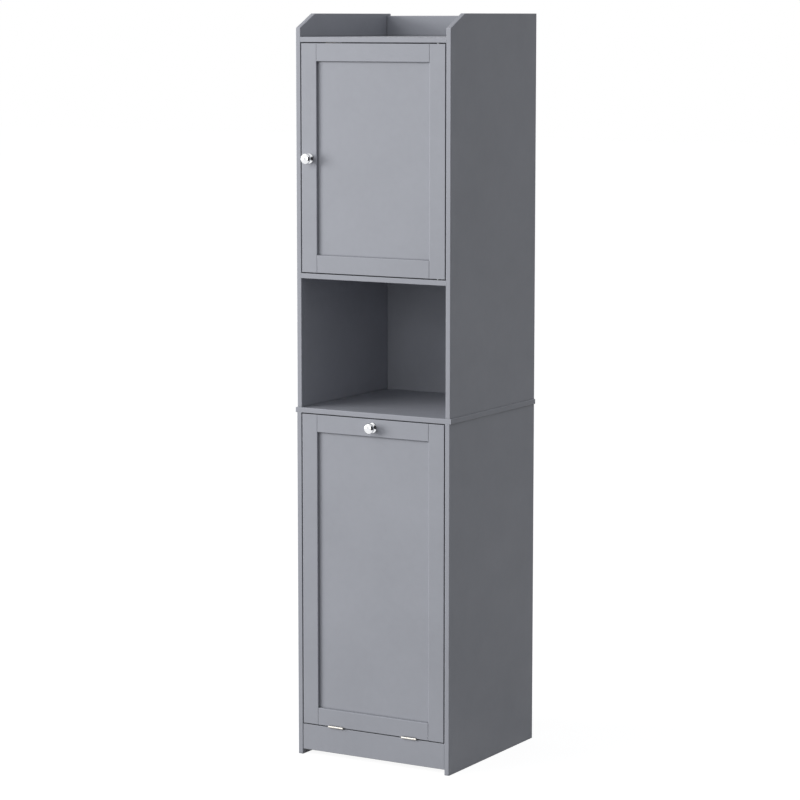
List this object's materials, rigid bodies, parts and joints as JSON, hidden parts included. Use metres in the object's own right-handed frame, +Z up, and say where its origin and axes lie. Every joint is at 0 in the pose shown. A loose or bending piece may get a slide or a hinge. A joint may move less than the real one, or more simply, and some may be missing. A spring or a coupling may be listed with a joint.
{
  "type": "tall bathroom cabinet",
  "caption": "Tall narrow painted bathroom cabinet with a framed upper door, an open niche, a tilt-out hamper door with a laundry bag, and a railed tray on top.",
  "frame": {"origin": "on the floor, at the centre of the width, half way between the front of the hamper door's knob and the rear edges", "axes": "+Z up, the doors face -Y, +X to the right of someone facing the cabinet"},
  "size_m": [0.406, 0.421, 1.7],
  "materials": {
    "painted_board": "satin grey paint on fibreboard",
    "back_board": "satin grey paint on thin fibreboard",
    "beech": "raw beech",
    "nickel_steel": "bright nickel plate",
    "zinc_steel": "zinc plate",
    "white_plastic": "moulded",
    "coated_steel": "white powder coat",
    "cotton": "plain woven cotton",
    "polished_chrome": "polished"
  },
  "bodies": {
    "cabinet": {"lower_side_left": "painted_board", "lower_side_right": "painted_board", "plinth_board": "painted_board", "bottom_panel": "painted_board", "lower_back_panel": "back_board", "middle_board": "painted_board", "loose_tenons": "beech", "upper_side_left": "painted_board", "upper_side_right": "painted_board", "divider_shelf": "painted_board", "top_board": "painted_board", "gallery_rail": "painted_board", "wall_fixing_rail": "painted_board", "upper_back_panel": "back_board", "adjustable_shelf": "painted_board", "shelf_pegs": "nickel_steel", "hinge_base_leaf_left": "nickel_steel", "hinge_base_leaf_right": "nickel_steel", "hinge_pins": "nickel_steel", "hamper_catch": "white_plastic", "upper_catch": "white_plastic", "catch_poles": "zinc_steel", "stay_studs": "zinc_steel", "upper_pivot_pins": "zinc_steel"},
    "upper_door": {"upper_stile_left": "painted_board", "upper_stile_right": "painted_board", "upper_rail_bottom": "painted_board", "upper_rail_top": "painted_board", "upper_door_panel": "painted_board", "upper_knob": "polished_chrome", "upper_strike_plate": "zinc_steel", "pivot_bushes": "white_plastic"},
    "hamper_door": {"hamper_stile_left": "painted_board", "hamper_stile_right": "painted_board", "hamper_rail_bottom": "painted_board", "hamper_rail_top": "painted_board", "hamper_door_panel": "painted_board", "hamper_knob": "polished_chrome", "hamper_strike_plate": "zinc_steel", "hinge_door_leaf_left": "nickel_steel", "hinge_door_leaf_right": "nickel_steel", "stay_bracket_left": "zinc_steel", "stay_bracket_right": "zinc_steel", "stay_rivets": "zinc_steel", "bag_frame": "coated_steel", "laundry_bag": "cotton"},
    "stay_left": {"stay_arm_left": "zinc_steel"},
    "stay_right": {"stay_arm_right": "zinc_steel"}
  },
  "joints": [
    {"name": "upper_door_hinge", "type": "hinge", "parent": "cabinet", "child": "upper_door", "pos_m": [0.166, -0.1795, 1.3765], "axis": [0, 0, 1], "range_deg": [0, 110]},
    {"name": "hamper_tilt", "type": "hinge", "parent": "cabinet", "child": "hamper_door", "pos_m": [0, -0.1919, 0.074], "axis": [1, 0, 0], "range_deg": [0, 40]},
    {"name": "stay_left_swing", "type": "hinge", "parent": "hamper_door", "child": "stay_left", "pos_m": [-0.1826, -0.1635, 0.332], "axis": [1, 0, 0], "range_deg": [-20, 0]},
    {"name": "stay_right_swing", "type": "hinge", "parent": "hamper_door", "child": "stay_right", "pos_m": [0.1826, -0.1635, 0.332], "axis": [1, 0, 0], "range_deg": [-20, 0]}
  ],
  "couplings": [
    {"joint": "stay_left_swing", "follows": "hamper_tilt", "ratio": -0.5},
    {"joint": "stay_right_swing", "follows": "hamper_tilt", "ratio": -0.5}
  ]
}
